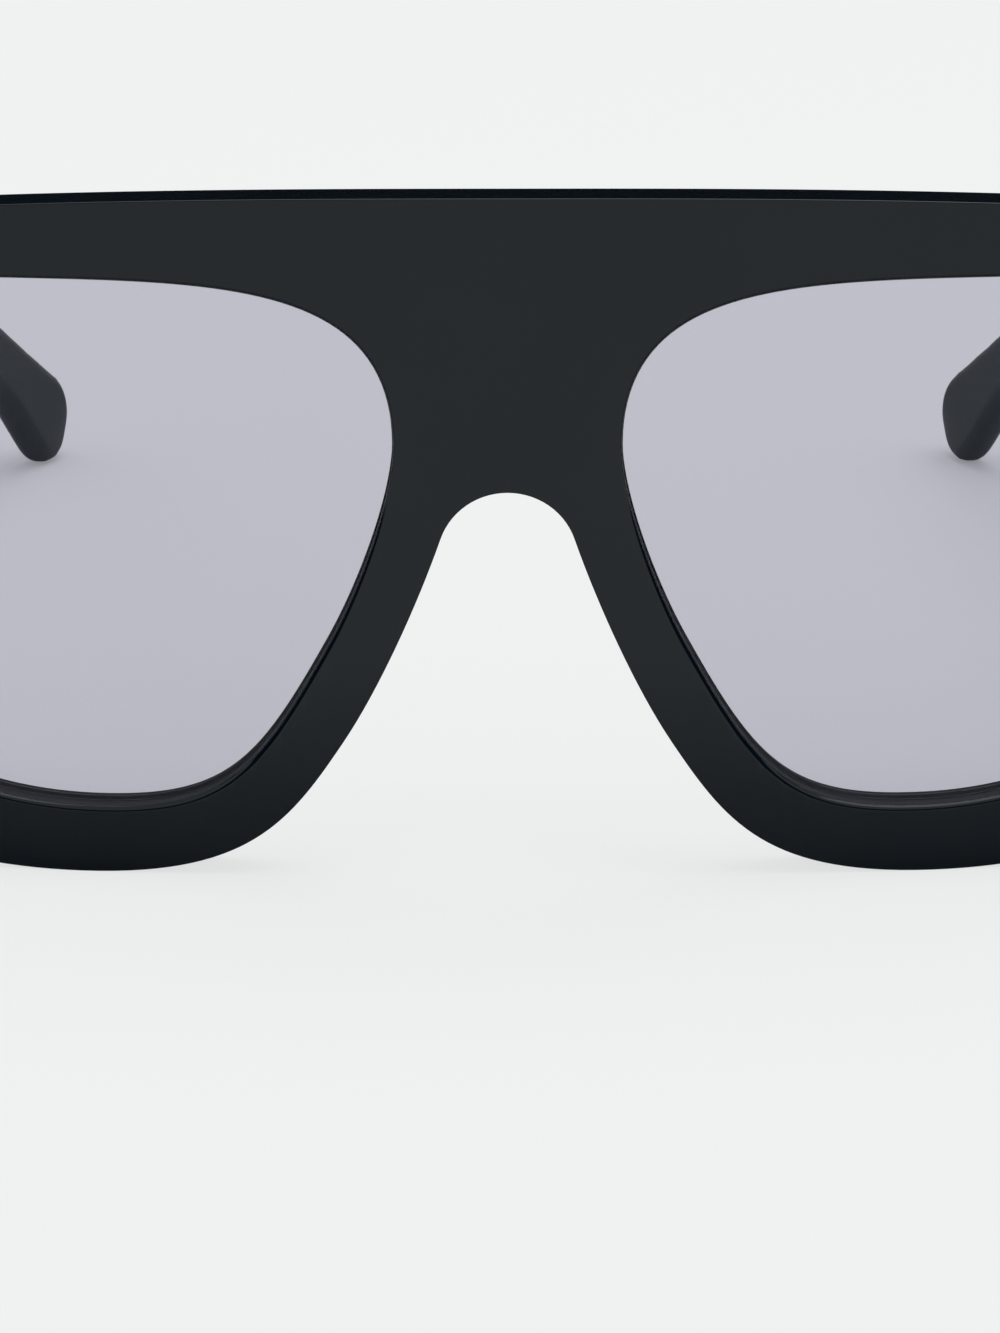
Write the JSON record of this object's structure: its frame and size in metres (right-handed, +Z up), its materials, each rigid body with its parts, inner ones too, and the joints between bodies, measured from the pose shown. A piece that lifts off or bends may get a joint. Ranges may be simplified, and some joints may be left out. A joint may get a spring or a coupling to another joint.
{
  "type": "square sunglasses",
  "caption": "Flat-top square sunglasses with a glossy black milled front, wide round nose arch, tinted wrapped lenses and temples that fold on five-barrel screw hinges.",
  "frame": {"origin": "on the ground, under the middle of the whole object's box", "axes": "+Z up, the front faces -Y, the temples run towards +Y, the wearer's left is +X"},
  "size_m": [0.146, 0.142, 0.0555],
  "materials": {
    "frame_acetate": "polished",
    "temple_acetate": "polished",
    "pad_acetate": "polished",
    "lens_tint": "polished, tinted, clear",
    "hinge_metal": "satin nickel silver",
    "screw_steel": "polished",
    "rivet_steel": "satin",
    "core_wire": "drawn"
  },
  "bodies": {
    "front": {"frame_front": "frame_acetate", "left_lens": "lens_tint", "right_lens": "lens_tint", "left_nose_pad": "pad_acetate", "right_nose_pad": "pad_acetate", "left_end_hinge": "hinge_metal", "right_end_hinge": "hinge_metal", "left_hinge_screw": "screw_steel", "right_hinge_screw": "screw_steel", "left_front_rivets": "rivet_steel", "right_front_rivets": "rivet_steel"},
    "left_temple": {"left_temple": "temple_acetate", "left_temple_hinge": "hinge_metal", "left_temple_rivets": "rivet_steel", "left_core_wire": "core_wire"},
    "right_temple": {"right_temple": "temple_acetate", "right_temple_hinge": "hinge_metal", "right_temple_rivets": "rivet_steel", "right_core_wire": "core_wire"}
  },
  "joints": [
    {"name": "left_fold", "type": "hinge", "parent": "front", "child": "left_temple", "pos_m": [0.0666, -0.05728, 0.0457], "axis": [0, 0.151, 0.9885], "range_deg": [0, 83]},
    {"name": "right_fold", "type": "hinge", "parent": "front", "child": "right_temple", "pos_m": [-0.0666, -0.05728, 0.0457], "axis": [0, -0.151, -0.9885], "range_deg": [0, 75]}
  ]
}
